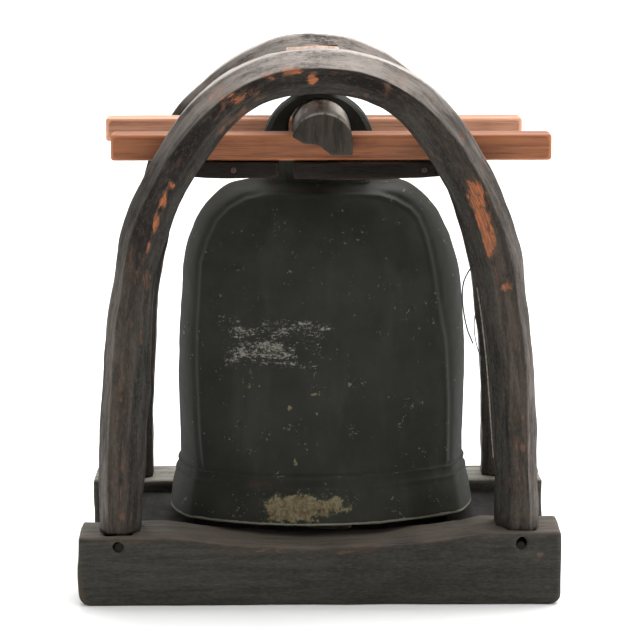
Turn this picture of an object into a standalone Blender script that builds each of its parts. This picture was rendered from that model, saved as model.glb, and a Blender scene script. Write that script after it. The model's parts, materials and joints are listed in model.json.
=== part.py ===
"""Temple bell hung in a wooden stand of two arches.

Metres, +Z up, +X to the right and +Y to the back. The origin is the middle of the base on the
floor. A flattened bronze bell hangs by its cast loop on a round-topped beam. The beam is notched
over two loose poles, which lie left to right on boards behind the legs of two hewn arches. The
arches are tenoned into two base rails and held apart by a spacer between their crowns.
"""

import math

import bmesh
import bpy
from mathutils import Matrix, Vector

OBJECT_NAME = "temple_bell"
GAP = 0.0003  # clearance between pieces that touch
FRONT = -1
REAR = 1
LEFT = -1
RIGHT = 1
SIDES = {"front": FRONT, "rear": REAR}
HANDS = {"left": LEFT, "right": RIGHT}

# Base rails, one under each arch
RAIL_HALF_LENGTH = 0.235
RAIL_HEIGHT = 0.070
RAIL_INNER_Y = 0.073
RAIL_OUTER_Y = 0.134
RAIL_CORNER = 0.010  # radius of the two lower ends
RAIL_EDGE = 0.002
DISH_HALF_WIDTH = 0.152  # the hollow worn in the top of each rail
DISH_DEPTH = 0.012

# Cross rails that tie the base rails together
CROSS_INNER_X = 0.130
CROSS_OUTER_X = 0.200
CROSS_BOTTOM = 0.016
CROSS_TOP = 0.058
CROSS_TENON_INSET = (0.010, 0.008)  # from the sides and from the top and bottom
CROSS_TENON_LENGTH = 0.009

# Arches
ARCH_INNER_Y = 0.084
ARCH_OUTER_Y = 0.124
ARCH_MID_Y = (ARCH_INNER_Y + ARCH_OUTER_Y) / 2
ARCH_OUTLINE = {"front": {"half_width": 0.2175, "height": 0.470, "power": 2.45},
                "rear": {"half_width": 0.2175, "height": 0.467, "power": 2.27}}
ARCH_OPENING = {"front": {"half_width": 0.1745, "height": 0.430, "power": 2.40},
                "rear": {"half_width": 0.1745, "height": 0.430, "power": 2.25}}
ARCH_STEPS = 36
ARCH_EDGE = 0.005
ARCH_TENON_X = (0.183, 0.209)
ARCH_TENON_BOTTOM = 0.022
DOWEL_Z = 0.0595
DOWEL_RADIUS = 0.0047
DOWEL_INNER_Y = 0.088
DOWEL_RECESS = 0.001
LEG_MID_X = (ARCH_OPENING["front"]["half_width"] + ARCH_OUTLINE["front"]["half_width"]) / 2

# Hanger beam, an upside-down U in section, and the pegs in the arch crowns above it
BEAM_Z = 0.455  # its round top's centre, the axis the bell swings about
BEAM_RADIUS = 0.029
BEAM_UNDERSIDE = BEAM_Z - 0.012
BEAM_HALF_LENGTH = 0.124
BEAM_EDGE = 0.0015
# the break in the lower left corner of the beam's front end, back to the pole's notch
BREAK = ((-0.040, 0.4600), (-0.027, 0.4600), (-0.018, 0.4545), (-0.004, 0.4533), (0.0025, 0.4480),
         (0.0085, 0.4430), (0.0085, 0.4300), (-0.040, 0.4300))
PEG_HALF = 0.008
PEG_BOTTOM = 0.511
PEG_STANDS_OUT = 0.0015

# Spacer between the arch crowns
SPACER_X = (-0.032, 0.022)
SPACER_BOTTOM = 0.497
SPACER_TOP = 0.527
SPACER_TENON_X = (-0.020, 0.010)
SPACER_TENON_Z = (0.504, 0.518)
SPACER_TENON_LENGTH = 0.0075

# Poles and the boards that they rest on
POLE_Y = 0.068
POLE_HALF = 0.0135
POLE_BOTTOM = 0.4317
POLE_TOP = 0.4585
POLE_X = {"front": (-0.2015, 0.2247), "rear": (-0.2180, 0.2060)}
POLE_EDGE = 0.002
BOARD_TOP = POLE_BOTTOM - GAP
BOARD_THICKNESS = 0.020
BOARD_SPANS = {"left": (-0.140, -0.039), "right": (-0.025, 0.140)}
BOARD_END_DEPTH = {"left": (0.0145, 0.0165), "right": (0.0185, 0.0145)}
BOARD_SAG = 0.0025
BOARD_EDGE = 0.001
NAIL_SHANK = 0.0011
NAIL_HEAD = 0.0030
NAIL_HEAD_THICKNESS = 0.0011
FACE_NAIL_X = {"left": -0.083, "right": 0.1015}
FACE_NAIL_Z = 0.4235
FACE_NAIL_LENGTH = 0.015
LAP_NAIL_X = 0.129
LAP_NAIL_LENGTH = 0.034

# Bell: height above the floor, half width and half depth, from the lip up to the crown
BELL_STATIONS = (
    (0.0710, 0.1540, 0.1000),
    (0.0940, 0.1510, 0.0965),
    (0.1110, 0.1450, 0.0905),
    (0.1290, 0.1416, 0.0860),
    (0.1800, 0.1428, 0.0825),
    (0.2300, 0.1425, 0.0800),
    (0.2830, 0.1396, 0.0770),
    (0.3150, 0.1367, 0.0745),
    (0.3400, 0.1305, 0.0710),
    (0.3530, 0.1246, 0.0680),
    (0.3725, 0.1148, 0.0620),
    (0.3920, 0.0960, 0.0520),
    (0.3990, 0.0820, 0.0400),
    (0.4020, 0.0660, 0.0300),
)
BELL_CORNER = (0.883, 0.61)  # where front and side arcs meet, as shares of half width and depth
BELL_WALL = 0.007
BELL_FRONT_STEPS = 14
BELL_SIDE_STEPS = 8

# The loop cast on the crown
LOOP_Z = 0.434
LOOP_RADIUS = 0.056
LOOP_HALF_DEPTH = 0.020
LOOP_FOOT = 0.3995
LOOP_HOLE_HALF = BEAM_RADIUS + 0.0008
LOOP_HOLE_BOTTOM = 0.4310
LOOP_EDGE = 0.003

# Clapper, a plank that hangs from a ring in an iron staple under the crown
CLAPPER_X = 0.012
CLAPPER_HALF_WIDTH = 0.022
CLAPPER_HALF_THICKNESS = 0.007
CLAPPER_BOTTOM = 0.039
CLAPPER_SHOULDER = 0.215  # where it starts to narrow
CLAPPER_TOP = 0.3545
CLAPPER_TOP_HALF_WIDTH = 0.013
CLAPPER_EDGE = 0.0015
CLAPPER_HOLE_Z = 0.3428
CLAPPER_HOLE_RADIUS = 0.0043
STAPLE_HALF_WIDTH = 0.008
STAPLE_LOW_Z = 0.364  # centre of its wire at the lowest point, the axis the clapper swings about
STAPLE_WIRE = 0.0018
STAPLE_TOP = 0.3990
LINK_WIRE = 0.0015
LINK_RADIUS = 0.013
LINK_Z = STAPLE_LOW_Z + STAPLE_WIRE + LINK_WIRE + 0.001 - LINK_RADIUS

# Wires and string on the front arch's right leg
WIRE_RADIUS = 0.00075
WIRE_Y = -0.104
STUB_WIRE = ((0.1483, 0.3350), (0.1395, 0.3180), (0.1383, 0.2980), (0.1425, 0.2730), (0.1490, 0.2560))
LOOP_WIRE = ((0.1551, 0.2950), (0.1513, 0.2800), (0.1515, 0.2620), (0.1556, 0.2450), (0.1600, 0.2380))
LOOP_WIRE_Y = -0.0915
LOOP_WIRE_RADIUS = 0.0005
STRING_RADIUS = 0.0006
STRING_Y = -0.0875
STRING_ROUTE = ((0.1536, 0.3080), (0.1580, 0.2800), (0.1630, 0.2400), (0.1668, 0.2000),
                (0.1695, 0.1650), (0.1720, 0.1370))

# Colour, roughness and metallic value of each material
MATERIALS = {
    "bronze": ((0.030, 0.031, 0.028), 0.55, 0.6),
    "dark_wood": ((0.050, 0.042, 0.036), 0.75, 0.0),
    "rail_wood": ((0.045, 0.041, 0.037), 0.78, 0.0),
    "pole_wood": ((0.310, 0.105, 0.055), 0.65, 0.0),
    "raw_wood": ((0.300, 0.150, 0.095), 0.80, 0.0),
    "clapper_wood": ((0.330, 0.240, 0.160), 0.80, 0.0),
    "beam_wood": ((0.075, 0.066, 0.052), 0.80, 0.0),
    "iron": ((0.050, 0.040, 0.035), 0.60, 0.8),
    "black_wire": ((0.010, 0.010, 0.010), 0.50, 0.3),
    "string": ((0.420, 0.380, 0.320), 0.90, 0.0),
}


def clear_scene():
    for obj in list(bpy.data.objects):
        bpy.data.objects.remove(obj, do_unlink=True)


def new_collection(name):
    collection = bpy.data.collections.new(name)
    bpy.context.scene.collection.children.link(collection)
    return collection


def new_material(name):
    colour, roughness, metallic = MATERIALS[name]
    material = bpy.data.materials.new(name)
    material.use_nodes = True
    shader = material.node_tree.nodes["Principled BSDF"]
    shader.inputs["Base Color"].default_value = (*colour, 1)
    shader.inputs["Roughness"].default_value = roughness
    shader.inputs["Metallic"].default_value = metallic
    material.diffuse_color = (*colour, 1)
    return material


clear_scene()
PARTS = new_collection(OBJECT_NAME)
CUTTERS = new_collection("cutters")
LOOKS = {name: new_material(name) for name in MATERIALS}


# ---------------------------------------------------------------- general shapes


def add_object(name, bm, look=None):
    """Puts a bmesh in the scene, as a part if it has a look and as a cutter if it has none."""
    mesh = bpy.data.meshes.new(name)
    bm.to_mesh(mesh)
    bm.free()
    obj = bpy.data.objects.new(name, mesh)
    if look:
        mesh.materials.append(LOOKS[look])
        PARTS.objects.link(obj)
    else:
        CUTTERS.objects.link(obj)
        obj.hide_render = True
        obj.display_type = "WIRE"
    return obj


def box(name, low, high, look=None, edge=0):
    size = Vector(high) - Vector(low)
    middle = (Vector(high) + Vector(low)) / 2
    bm = bmesh.new()
    place = Matrix.Translation(middle) @ Matrix.Diagonal((*size, 1))
    bmesh.ops.create_cube(bm, size=1, matrix=place)
    if edge:
        bmesh.ops.bevel(bm, geom=bm.edges[:], offset=edge, segments=1, affect="EDGES", profile=0.5)
    return add_object(name, bm, look)


def rod(name, start, end, radius, sides=16, look=None):
    start, end = Vector(start), Vector(end)
    turn = (end - start).to_track_quat("Z", "Y").to_matrix().to_4x4()
    bm = bmesh.new()
    bmesh.ops.create_cone(bm, cap_ends=True, segments=sides, radius1=radius, radius2=radius,
                          depth=(end - start).length, matrix=Matrix.Translation((start + end) / 2) @ turn)
    return add_object(name, bm, look)


def mesh_of_curve(curve, place):
    """The curve's welded mesh as a bmesh, in world coordinates."""
    guide = bpy.data.objects.new("guide", curve)
    bpy.context.scene.collection.objects.link(guide)
    guide.matrix_world = place
    bpy.context.view_layer.update()
    evaluated = guide.evaluated_get(bpy.context.evaluated_depsgraph_get())
    mesh = bpy.data.meshes.new_from_object(evaluated)
    mesh.transform(guide.matrix_world)
    bpy.data.objects.remove(guide)
    bm = bmesh.new()
    bm.from_mesh(mesh)
    bpy.data.meshes.remove(mesh)
    bmesh.ops.remove_doubles(bm, verts=bm.verts, dist=1e-6)
    return bm


def plate(name, outlines, y_low, y_high, look=None, edge=0, keep_below=None):
    """A flat piece standing in the XZ plane. A second outline is a hole through it.

    Its front and back edges are eased by edge, apart from those lower than keep_below.
    """
    curve = bpy.data.curves.new(name, "CURVE")
    curve.dimensions = "2D"
    curve.fill_mode = "BOTH"
    curve.extrude = (y_high - y_low) / 2
    for points in outlines:
        spline = curve.splines.new("POLY")
        spline.points.add(len(points) - 1)
        for point, (x, z) in zip(spline.points, points):
            point.co = (x, z, 0, 1)
        spline.use_cyclic_u = True
    upright = Matrix.Translation((0, (y_low + y_high) / 2, 0)) @ Matrix.Rotation(math.pi / 2, 4, "X")
    bm = mesh_of_curve(curve, upright)
    bmesh.ops.dissolve_limit(bm, angle_limit=0.002, verts=bm.verts, edges=bm.edges)
    if edge:
        rims = [e for e in bm.edges if is_rim(e, keep_below)]
        bmesh.ops.bevel(bm, geom=rims, offset=edge, segments=1, affect="EDGES", profile=0.5)
    bmesh.ops.recalc_face_normals(bm, faces=bm.faces)
    return add_object(name, bm, look)


def is_rim(edge, keep_below):
    """True for an edge round a plate's front or back face."""
    start, end = (v.co for v in edge.verts)
    if abs(start.y - end.y) > 1e-6 or not edge.is_manifold or edge.calc_face_angle() < 0.5:
        return False
    return keep_below is None or max(start.z, end.z) > keep_below


def tube(name, points, radius, look, sides_step=2):
    """A round wire along points, with closed ends."""
    curve = bpy.data.curves.new(name, "CURVE")
    curve.dimensions = "3D"
    curve.bevel_depth = radius
    curve.bevel_resolution = sides_step
    curve.use_fill_caps = True
    spline = curve.splines.new("POLY")
    spline.points.add(len(points) - 1)
    for point, place in zip(spline.points, points):
        point.co = (*place, 1)
    bm = mesh_of_curve(curve, Matrix.Identity(4))
    return add_object(name, bm, look)


def smooth_route(points, steps):
    """Points on a Catmull-Rom curve through the given points, steps to each span."""
    points = [Vector(p) for p in points]
    ends = [2 * points[0] - points[1], *points, 2 * points[-1] - points[-2]]
    route = []
    for a, b, c, d in zip(ends, ends[1:], ends[2:], ends[3:]):
        for i in range(steps):
            t = i / steps
            route.append(0.5 * (2 * b + (c - a) * t + (2 * a - 5 * b + 4 * c - d) * t ** 2
                                + (3 * b - a - 3 * c + d) * t ** 3))
    return [*route, points[-1]]


def turned(name, profile, place, sides, look):
    """A turned piece. profile runs down its outer side as (radius, height) pairs."""
    mesh = bpy.data.meshes.new(name)
    mesh.from_pydata([(r, 0, z) for r, z in profile], [(i, i + 1) for i in range(len(profile) - 1)], [])
    mesh.materials.append(LOOKS[look])
    obj = bpy.data.objects.new(name, mesh)
    PARTS.objects.link(obj)
    obj.matrix_world = place
    screw = obj.modifiers.new("turn", "SCREW")
    screw.steps = screw.render_steps = sides
    screw.use_merge_vertices = True
    screw.merge_threshold = 0.00001
    return obj


def pointing(tip, direction):
    """The place of a turned piece whose top is at tip and whose top end faces direction."""
    return Matrix.Translation(tip) @ Vector(direction).to_track_quat("Z", "X").to_matrix().to_4x4()


def boolean(target, tool, operation):
    modifier = target.modifiers.new(f"{operation.lower()} {tool.name}", "BOOLEAN")
    modifier.operation = operation
    modifier.solver = "EXACT"
    modifier.object = tool


def cut(target, *tools):
    for tool in tools:
        boolean(target, tool, "DIFFERENCE")


def join(target, *tools):
    for tool in tools:
        boolean(target, tool, "UNION")


def arc(middle, radius, start, end, steps):
    """Points of an arc in the XZ plane, angles in degrees from +X towards +Z."""
    angles = [math.radians(start + (end - start) * i / steps) for i in range(steps + 1)]
    return [(middle[0] + radius * math.cos(a), middle[1] + radius * math.sin(a)) for a in angles]


def mirrored(low, high, side):
    """A Y range on the front or rear side, low end first."""
    return (low, high) if side > 0 else (-high, -low)


def hang_on(name, point, children):
    """Parents pieces to an empty on their joint's axis."""
    empty = bpy.data.objects.new(name, None)
    PARTS.objects.link(empty)
    empty.location = point
    bpy.context.view_layer.update()
    for child in children:
        child.parent = empty
        child.matrix_parent_inverse = empty.matrix_world.inverted()
    return empty


# ---------------------------------------------------------------- base


def dish_top(steps=16):
    """The rail's top line from right to left, with its shallow hollow."""
    points = [(RAIL_HALF_LENGTH, RAIL_HEIGHT)]
    for i in range(steps + 1):
        share = 1 - 2 * i / steps
        drop = DISH_DEPTH * (1 - share ** 2) ** 1.5
        points.append((DISH_HALF_WIDTH * share, RAIL_HEIGHT - drop))
    return [*points, (-RAIL_HALF_LENGTH, RAIL_HEIGHT)]


def base_rail(name, side):
    low, high = mirrored(RAIL_INNER_Y, RAIL_OUTER_Y, side)
    corner_x = RAIL_HALF_LENGTH - RAIL_CORNER
    outline = [
        *dish_top(),
        *arc((-corner_x, RAIL_CORNER), RAIL_CORNER, 180, 270, 4),
        *arc((corner_x, RAIL_CORNER), RAIL_CORNER, 270, 360, 4),
    ]
    rail = plate(name, [outline], low, high, "rail_wood", RAIL_EDGE)
    inner_x, outer_x = ARCH_TENON_X
    arch_low, arch_high = mirrored(ARCH_INNER_Y, ARCH_OUTER_Y, side)
    tenon_end = RAIL_INNER_Y + CROSS_TENON_LENGTH + GAP
    for hand, half in HANDS.items():
        x_low, x_high = mirrored(inner_x, outer_x, half)
        cut(rail, box(f"{name} {hand} mortise", (x_low - GAP, arch_low - GAP, ARCH_TENON_BOTTOM - GAP),
                      (x_high + GAP, arch_high + GAP, RAIL_HEIGHT + 0.02)))
        x = half * LEG_MID_X
        cut(rail, rod(f"{name} {hand} dowel hole", (x, side * (DOWEL_INNER_Y - GAP), DOWEL_Z),
                      (x, side * (RAIL_OUTER_Y + 0.01), DOWEL_Z), DOWEL_RADIUS + GAP))
        x_low, x_high = mirrored(CROSS_INNER_X, CROSS_OUTER_X, half)
        inset_x, inset_z = CROSS_TENON_INSET
        y_low, y_high = mirrored(RAIL_INNER_Y - 0.01, tenon_end, side)
        cut(rail, box(f"{name} {hand} cross mortise",
                      (x_low + inset_x - GAP, y_low, CROSS_BOTTOM + inset_z - GAP),
                      (x_high - inset_x + GAP, y_high, CROSS_TOP - inset_z + GAP)))
    return rail


def cross_rail(name, hand):
    x_low, x_high = mirrored(CROSS_INNER_X, CROSS_OUTER_X, hand)
    inset_x, inset_z = CROSS_TENON_INSET
    half_length = RAIL_INNER_Y - GAP
    rail = box(name, (x_low, -half_length, CROSS_BOTTOM), (x_high, half_length, CROSS_TOP),
               "rail_wood", RAIL_EDGE)
    half_length = RAIL_INNER_Y + CROSS_TENON_LENGTH
    join(rail, box(name + " tenons", (x_low + inset_x, -half_length, CROSS_BOTTOM + inset_z),
                   (x_high - inset_x, half_length, CROSS_TOP - inset_z)))
    return rail


def arch_dowel(name, side, hand):
    """A dowel that pins an arch tenon in its base rail."""
    tip = RAIL_OUTER_Y - DOWEL_RECESS
    length = tip - DOWEL_INNER_Y
    chamfer = 0.0008
    profile = [(0, 0), (DOWEL_RADIUS - chamfer, 0), (DOWEL_RADIUS, -chamfer),
               (DOWEL_RADIUS, -length), (0, -length)]
    return turned(name, profile, pointing((hand * LEG_MID_X, side * tip, DOWEL_Z), (0, side, 0)),
                  14, "dark_wood")


# ---------------------------------------------------------------- arches, beam and crown


def superellipse(half_width, height, power, steps):
    """The upper half of a superellipse on the rail's top, from right to left."""
    points = []
    for i in range(steps + 1):
        cosine, sine = math.cos(math.pi * i / steps), abs(math.sin(math.pi * i / steps))
        x = half_width * math.copysign(abs(cosine) ** (2 / power), cosine)
        points.append((x, RAIL_HEIGHT + GAP + (height - GAP) * sine ** (2 / power)))
    return points


def arch(word, side):
    name = f"{word}_arch"
    low, high = mirrored(ARCH_INNER_Y, ARCH_OUTER_Y, side)
    outline = superellipse(**ARCH_OUTLINE[word], steps=ARCH_STEPS)
    opening = superellipse(**ARCH_OPENING[word], steps=ARCH_STEPS)
    foot = RAIL_HEIGHT + GAP + 0.001
    bow = plate(name, [outline + opening[::-1]], low, high, "dark_wood", ARCH_EDGE, keep_below=foot)
    for hand, half in HANDS.items():
        x_low, x_high = mirrored(*ARCH_TENON_X, half)
        join(bow, box(f"{name} {hand} tenon", (x_low, low, ARCH_TENON_BOTTOM),
                      (x_high, high, RAIL_HEIGHT + 0.01)))
        x = half * LEG_MID_X
        cut(bow, rod(f"{name} {hand} dowel hole", (x, side * (DOWEL_INNER_Y - GAP), DOWEL_Z),
                     (x, side * (ARCH_OUTER_Y + 0.01), DOWEL_Z), DOWEL_RADIUS + GAP))
    middle = side * ARCH_MID_Y
    half_peg = PEG_HALF + GAP
    cut(bow, box(name + " peg mortise", (-half_peg, middle - half_peg, PEG_BOTTOM - GAP),
                 (half_peg, middle + half_peg, RAIL_HEIGHT + 0.5)))
    y_low, y_high = mirrored(ARCH_INNER_Y - 0.01, ARCH_INNER_Y + SPACER_TENON_LENGTH + GAP, side)
    cut(bow, box(name + " spacer mortise", (SPACER_TENON_X[0] - GAP, y_low, SPACER_TENON_Z[0] - GAP),
                 (SPACER_TENON_X[1] + GAP, y_high, SPACER_TENON_Z[1] + GAP)))
    return bow


def crown_peg(word, side):
    """A square peg driven down into an arch crown, behind the end of the spacer's tenon."""
    middle = side * ARCH_MID_Y
    top = RAIL_HEIGHT + ARCH_OUTLINE[word]["height"] + PEG_STANDS_OUT
    return box(f"{word}_crown_peg", (-PEG_HALF, middle - PEG_HALF, PEG_BOTTOM),
               (PEG_HALF, middle + PEG_HALF, top), "dark_wood")


def hanger_beam():
    outline = [*arc((0, BEAM_Z), BEAM_RADIUS, 0, 180, 24), (-BEAM_RADIUS, BEAM_UNDERSIDE),
               (BEAM_RADIUS, BEAM_UNDERSIDE)]
    beam = plate("hanger_beam", [outline], -BEAM_HALF_LENGTH, BEAM_HALF_LENGTH, "beam_wood", BEAM_EDGE)
    reach = BEAM_RADIUS + 0.01
    half_notch = POLE_HALF + GAP
    for word, side in SIDES.items():
        middle = side * POLE_Y
        cut(beam, box(f"{word} pole notch", (-reach, middle - half_notch, BEAM_UNDERSIDE - 0.01),
                      (reach, middle + half_notch, POLE_TOP + GAP)))
    cut(beam, plate("broken corner", [BREAK], -BEAM_HALF_LENGTH - 0.01, -POLE_Y))
    return beam


def crown_spacer():
    left, right = SPACER_X
    outline = [(left, SPACER_BOTTOM), (right, SPACER_BOTTOM), (right, SPACER_TOP - 0.0010),
               (0, SPACER_TOP), (left, SPACER_TOP - 0.0017)]
    spacer = plate("crown_spacer", [outline], GAP - ARCH_INNER_Y, ARCH_INNER_Y - GAP, "raw_wood", 0.001)
    half_length = ARCH_INNER_Y + SPACER_TENON_LENGTH
    join(spacer, box("spacer tenons", (SPACER_TENON_X[0], -half_length, SPACER_TENON_Z[0]),
                     (SPACER_TENON_X[1], half_length, SPACER_TENON_Z[1])))
    return spacer


# ---------------------------------------------------------------- poles and their rests


def pole(word, side):
    x_low, x_high = POLE_X[word]
    middle = side * POLE_Y
    return box(f"{word}_pole", (x_low, middle - POLE_HALF, POLE_BOTTOM),
               (x_high, middle + POLE_HALF, POLE_TOP), "pole_wood", POLE_EDGE)


def rest_board(word, side, hand):
    """A board lapped on the back of an arch leg, with a sagging underside."""
    x_low, x_high = BOARD_SPANS[hand]
    low_depth, high_depth = BOARD_END_DEPTH[hand]
    steps = 8
    underside = []
    for i in range(steps + 1):
        t = i / steps
        depth = low_depth + (high_depth - low_depth) * t + BOARD_SAG * (1 - (2 * t - 1) ** 2)
        underside.append((x_low + (x_high - x_low) * t, BOARD_TOP - depth))
    outline = [(x_high, BOARD_TOP), (x_low, BOARD_TOP), *underside]
    near = ARCH_INNER_Y - GAP
    y_low, y_high = mirrored(near - BOARD_THICKNESS, near, side)
    board = plate(f"{word}_{hand}_rest_board", [outline], y_low, y_high, "dark_wood", BOARD_EDGE)
    return board


def nail_profile(length):
    head = NAIL_HEAD_THICKNESS
    return [(0, head), (NAIL_HEAD * 0.7, head), (NAIL_HEAD, head * 0.4), (NAIL_HEAD, 0),
            (NAIL_SHANK, 0), (NAIL_SHANK, -length), (0, -length)]


def face_nail(board, side, x):
    """A nail driven into a board's outer face."""
    near = ARCH_INNER_Y
    cut(board, rod(f"{board.name} nail hole", (x, side * (near + 0.01), FACE_NAIL_Z),
                   (x, side * (near - FACE_NAIL_LENGTH - GAP), FACE_NAIL_Z), NAIL_SHANK + GAP, 8))
    return turned(board.name.replace("rest_board", "face_nail"), nail_profile(FACE_NAIL_LENGTH),
                  pointing((x, side * near, FACE_NAIL_Z), (0, side, 0)), 8, "iron")


def lap_nail(board, bow, side, x):
    """A nail driven from behind through a board's lapped end into the arch leg."""
    far = ARCH_INNER_Y - GAP - BOARD_THICKNESS
    hole = rod(f"{board.name} lap hole", (x, side * (far - 0.01), FACE_NAIL_Z),
               (x, side * (far + LAP_NAIL_LENGTH + GAP), FACE_NAIL_Z), NAIL_SHANK + GAP, 8)
    cut(board, hole)
    cut(bow, hole)
    return turned(board.name.replace("rest_board", "lap_nail"), nail_profile(LAP_NAIL_LENGTH),
                  pointing((x, side * (far - GAP), FACE_NAIL_Z), (0, -side, 0)), 8, "iron")


# ---------------------------------------------------------------- bell and clapper


def arc_through(half_chord, sagitta, steps):
    """Offsets along and above a chord for an arc, from one end to just before the other."""
    radius = (half_chord ** 2 + sagitta ** 2) / (2 * sagitta)
    half_angle = math.asin(min(1, half_chord / radius))
    points = []
    for i in range(steps):
        angle = half_angle * (1 - 2 * i / steps)
        points.append((radius * math.sin(angle), radius * math.cos(angle) - (radius - sagitta)))
    return points


def bell_section(half_width, half_depth):
    """A flattened ring of two wide and two narrow arcs, counter-clockwise from above."""
    corner_x, corner_y = BELL_CORNER[0] * half_width, BELL_CORNER[1] * half_depth
    wide = arc_through(corner_x, half_depth - corner_y, BELL_FRONT_STEPS)
    narrow = arc_through(corner_y, half_width - corner_x, BELL_SIDE_STEPS)
    back = [(x, corner_y + rise) for x, rise in wide]
    left = [(-corner_x - rise, y) for y, rise in narrow]
    front = [(-x, -y) for x, y in back]
    right = [(-x, -y) for x, y in left]
    return back + left + front + right


def bell():
    """The casting: a lofted shell with the loop on its crown."""
    bm = bmesh.new()
    rings = []
    for z, half_width, half_depth in BELL_STATIONS:
        rings.append([bm.verts.new((x, y, z)) for x, y in bell_section(half_width, half_depth)])
    count = len(rings[0])
    for lower, upper in zip(rings, rings[1:]):
        for i in range(count):
            j = (i + 1) % count
            bm.faces.new((lower[i], lower[j], upper[j], upper[i]))
    bm.faces.new(rings[-1])
    casting = add_object("bell", bm, "bronze")
    wall = casting.modifiers.new("wall", "SOLIDIFY")
    wall.thickness = BELL_WALL
    wall.offset = -1
    wall.use_even_offset = True
    join(casting, bell_loop())
    for word, half in HANDS.items():
        x = CLAPPER_X + half * STAPLE_HALF_WIDTH
        cut(casting, rod(f"{word} staple hole", (x, 0, 0.385), (x, 0, STAPLE_TOP + GAP),
                         STAPLE_WIRE + GAP, 12))
    casting.data.set_sharp_from_angle(angle=math.radians(35))
    casting.data.shade_smooth()
    return casting


def bell_loop():
    """The strap round the beam: a disc with a slot, cut off flat inside the crown."""
    foot = math.degrees(math.asin((LOOP_FOOT - LOOP_Z) / LOOP_RADIUS))
    outline = arc((0, LOOP_Z), LOOP_RADIUS, foot, 180 - foot, 40)
    slot = [*arc((0, BEAM_Z), LOOP_HOLE_HALF, 0, 180, 24), (-LOOP_HOLE_HALF, LOOP_HOLE_BOTTOM),
            (LOOP_HOLE_HALF, LOOP_HOLE_BOTTOM)]
    return plate("bell loop", [outline, slot], -LOOP_HALF_DEPTH, LOOP_HALF_DEPTH,
                 edge=LOOP_EDGE, keep_below=LOOP_FOOT + 0.001)


def clapper_staple():
    """A U of iron wire whose ends are cast into the crown."""
    half = STAPLE_HALF_WIDTH
    bend = arc((CLAPPER_X, STAPLE_LOW_Z + half), half, 180, 360, 10)
    route = [(CLAPPER_X - half, STAPLE_TOP), *bend, (CLAPPER_X + half, STAPLE_TOP)]
    return tube("clapper_staple", [(x, 0, z) for x, z in route], STAPLE_WIRE, "iron")


def clapper_link():
    """The ring between the staple and the clapper."""
    bpy.ops.mesh.primitive_torus_add(major_radius=LINK_RADIUS, minor_radius=LINK_WIRE,
                                     major_segments=24, minor_segments=8,
                                     location=(CLAPPER_X, 0, LINK_Z), rotation=(0, math.pi / 2, 0))
    ring = bpy.context.object
    ring.name = "clapper_link"
    ring.data.materials.append(LOOKS["iron"])
    for collection in list(ring.users_collection):
        collection.objects.unlink(ring)
    PARTS.objects.link(ring)
    return ring


def clapper():
    """A plank with a narrowed top, hung by a hole."""
    wide, narrow, corner = CLAPPER_HALF_WIDTH, CLAPPER_TOP_HALF_WIDTH, 0.004
    right = [*arc((wide - corner, CLAPPER_BOTTOM + corner), corner, 270, 360, 3),
             (wide, CLAPPER_SHOULDER), (narrow, CLAPPER_SHOULDER + 0.045), (narrow, CLAPPER_TOP)]
    outline = [(CLAPPER_X + x, z) for x, z in right] + [(CLAPPER_X - x, z) for x, z in reversed(right)]
    plank = plate("clapper", [outline], -CLAPPER_HALF_THICKNESS, CLAPPER_HALF_THICKNESS,
                  "clapper_wood", CLAPPER_EDGE)
    cut(plank, rod("clapper hole", (CLAPPER_X, -0.02, CLAPPER_HOLE_Z), (CLAPPER_X, 0.02, CLAPPER_HOLE_Z),
                   CLAPPER_HOLE_RADIUS))
    return plank


# ---------------------------------------------------------------- wires and string


def leg_wire(name, route, y, radius):
    """A stiff bit of black wire on the right leg."""
    return tube(name, smooth_route([(x, y, z) for x, z in route], 4), radius, "black_wire")


def leg_string():
    """A pale string held taut along the inner edge of the right leg."""
    route = smooth_route([(x, STRING_Y, z) for x, z in STRING_ROUTE], 10)
    return tube("leg_string", route, STRING_RADIUS, "string")


# ---------------------------------------------------------------- the whole object


def build_stand():
    """The rails, arches, beam, boards and what holds them together. Returns the poles by name."""
    poles = {}
    for word, side in SIDES.items():
        base_rail(f"{word}_base_rail", side)
        bow = arch(word, side)
        crown_peg(word, side)
        for hand, half in HANDS.items():
            arch_dowel(f"{word}_{hand}_arch_dowel", side, half)
            board = rest_board(word, side, hand)
            face_nail(board, side, FACE_NAIL_X[hand])
            lap_nail(board, bow, side, half * LAP_NAIL_X)
        poles[word] = pole(word, side)
    for hand, half in HANDS.items():
        cross_rail(f"{hand}_cross_rail", half)
    hanger_beam()
    crown_spacer()
    return poles


def build():
    poles = build_stand()
    leg_wire("leg_wire_stub", STUB_WIRE, WIRE_Y, WIRE_RADIUS)
    leg_wire("leg_wire_loop", LOOP_WIRE, LOOP_WIRE_Y, LOOP_WIRE_RADIUS)
    leg_string()
    bell_pivot = hang_on("bell_pivot", (0, 0, BEAM_Z), [bell(), clapper_staple()])
    clapper_pivot = hang_on("clapper_pivot", (CLAPPER_X, 0, STAPLE_LOW_Z), [clapper(), clapper_link()])
    clapper_pivot.parent = bell_pivot
    clapper_pivot.matrix_parent_inverse = bell_pivot.matrix_world.inverted()
    middle = (POLE_BOTTOM + POLE_TOP) / 2
    for word, side in SIDES.items():
        hang_on(f"{word}_pole_slide", (sum(POLE_X[word]) / 2, side * POLE_Y, middle), [poles[word]])


build()
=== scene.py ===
"""The looks of a temple bell in its two-arch wooden stand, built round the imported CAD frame.

Metres, +Z up, +X to the right and +Y to the back, as in the frame.
"""

import json
import math

import bmesh
import bpy
import numpy as np
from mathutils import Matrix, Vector, noise


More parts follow.
